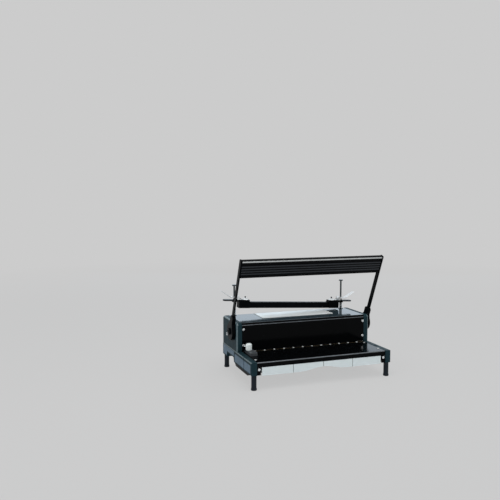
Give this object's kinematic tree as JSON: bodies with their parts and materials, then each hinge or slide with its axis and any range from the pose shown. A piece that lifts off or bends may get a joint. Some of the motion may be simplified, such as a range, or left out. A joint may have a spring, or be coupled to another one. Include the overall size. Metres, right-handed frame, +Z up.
{
  "type": "strip binding machine",
  "caption": "Hand-pulled punch and strip binding machine with a tall handle, a paper table, a chip drawer and a press bar on two upright rods.",
  "frame": {"origin": "on the surface that the machine stands on, under the middle of its casing", "axes": "+X along the machine towards its right end, +Y from the operator's side to the back, +Z up"},
  "size_m": [0.3854, 0.218, 0.2918],
  "materials": {
    "casing_plastic": "satin dark blue-grey, slightly rough",
    "rail_inlay_grey": "mid blue-grey inlay",
    "gloss_black_steel": "glossy black paint on sheet",
    "black_steel": "satin black paint",
    "leg_black": "dark leg with a harder tip",
    "drawer_white": "pale greenish white",
    "knob_white": "white, glossy",
    "blank_plate_white": "plain white, bare",
    "zinc_steel": "bright zinc",
    "chrome_steel": "polished",
    "tool_steel": "ground, oiled",
    "bronze_strip": "dull",
    "grip_plastic": "ribbed black",
    "trim_silver": "satin silver",
    "guide_grey_plastic": "dark grey"
  },
  "bodies": {
    "housing": {"left_base_rail": "casing_plastic", "right_base_rail": "casing_plastic", "left_rail_panel": "rail_inlay_grey", "right_rail_panel": "rail_inlay_grey", "left_under_rail": "black_steel", "right_under_rail": "black_steel", "front_left_leg": "leg_black", "front_right_leg": "leg_black", "rear_left_leg": "leg_black", "rear_right_leg": "leg_black", "left_side_cover": "casing_plastic", "right_side_cover": "casing_plastic", "left_frame_plate": "tool_steel", "right_frame_plate": "tool_steel", "front_panel": "gloss_black_steel", "top_cover": "gloss_black_steel", "rear_panel": "gloss_black_steel", "top_plate_blank": "blank_plate_white", "bottom_plate": "black_steel", "table_plate": "gloss_black_steel", "throat_strip": "bronze_strip", "die_block": "tool_steel", "punch_guide": "tool_steel", "left_shaft_bush": "bronze_strip", "right_shaft_bush": "bronze_strip", "handle_return_spring": "tool_steel", "rear_cross_rail": "tool_steel", "left_press_rod": "chrome_steel", "right_press_rod": "chrome_steel", "left_press_spring": "chrome_steel", "right_press_spring": "chrome_steel", "left_drawer_runner": "black_steel", "right_drawer_runner": "black_steel"},
    "handle": {"drive_shaft": "zinc_steel", "left_drive_pinion": "tool_steel", "right_drive_pinion": "tool_steel", "left_lever_hub": "black_steel", "right_lever_hub": "black_steel", "left_handle_arm": "black_steel", "right_handle_arm": "black_steel", "handle_grip": "grip_plastic", "grip_trim": "trim_silver"},
    "punch_head": {"punch_beam": "tool_steel", "punch_pins": "tool_steel"},
    "rod_collar": {"right_rod_collar": "black_steel"},
    "press_bar_unit": {"press_bar": "black_steel", "left_end_block": "black_steel", "right_end_block": "black_steel", "left_finger_plate": "black_steel", "right_finger_plate": "black_steel", "left_lever_bracket": "zinc_steel", "right_lever_bracket": "zinc_steel"},
    "left_lever": {"left_clutch_lever": "zinc_steel"},
    "right_lever": {"right_clutch_lever": "zinc_steel"},
    "drawer": {"chip_drawer": "drawer_white"},
    "paper_guide": {"side_guide": "guide_grey_plastic"},
    "lock_knob": {"guide_knob": "knob_white"}
  },
  "joints": [
    {"name": "handle_pull", "type": "hinge", "parent": "housing", "child": "handle", "pos_m": [0, 0.023, 0.11], "axis": [1, 0, 0], "range_deg": [0, 72], "stiffness_Nm_per_rad": 0.8, "springref_deg": -57.3},
    {"name": "punch_stroke", "type": "slide", "parent": "housing", "child": "punch_head", "axis": [0, 0, -1], "range_m": [0, 0.0105]},
    {"name": "press_bar_lift", "type": "slide", "parent": "housing", "child": "rod_collar", "axis": [0, 0, 1], "range_m": [0, 0.024]},
    {"name": "press_bar_level", "type": "hinge", "parent": "rod_collar", "child": "press_bar_unit", "pos_m": [0.153, 0.097, 0.1551], "axis": [0, -1, 0], "range_deg": [0, 3.3]},
    {"name": "left_lever_press", "type": "hinge", "parent": "press_bar_unit", "child": "left_lever", "pos_m": [-0.14403, 0.097, 0.18054], "axis": [0, -1, 0], "range_deg": [0, 12], "stiffness_Nm_per_rad": 0.02, "springref_deg": -28.65},
    {"name": "right_lever_press", "type": "hinge", "parent": "press_bar_unit", "child": "right_lever", "pos_m": [0.14549, 0.097, 0.16385], "axis": [0, 1, 0], "range_deg": [0, 12], "stiffness_Nm_per_rad": 0.02, "springref_deg": -28.65},
    {"name": "drawer_slide", "type": "slide", "parent": "housing", "child": "drawer", "axis": [0, -1, 0], "range_m": [0, 0.095]},
    {"name": "paper_guide_slide", "type": "slide", "parent": "housing", "child": "paper_guide", "axis": [-1, 0, 0], "range_m": [0, 0.0039]},
    {"name": "lock_knob_turn", "type": "hinge", "parent": "paper_guide", "child": "lock_knob", "pos_m": [-0.1557, -0.023, 0.0635], "axis": [0, 0, 1], "range_deg": [0, 90]}
  ],
  "couplings": [
    {"joint": "punch_stroke", "follows": "handle_pull", "m_per_rad": 0.008}
  ]
}
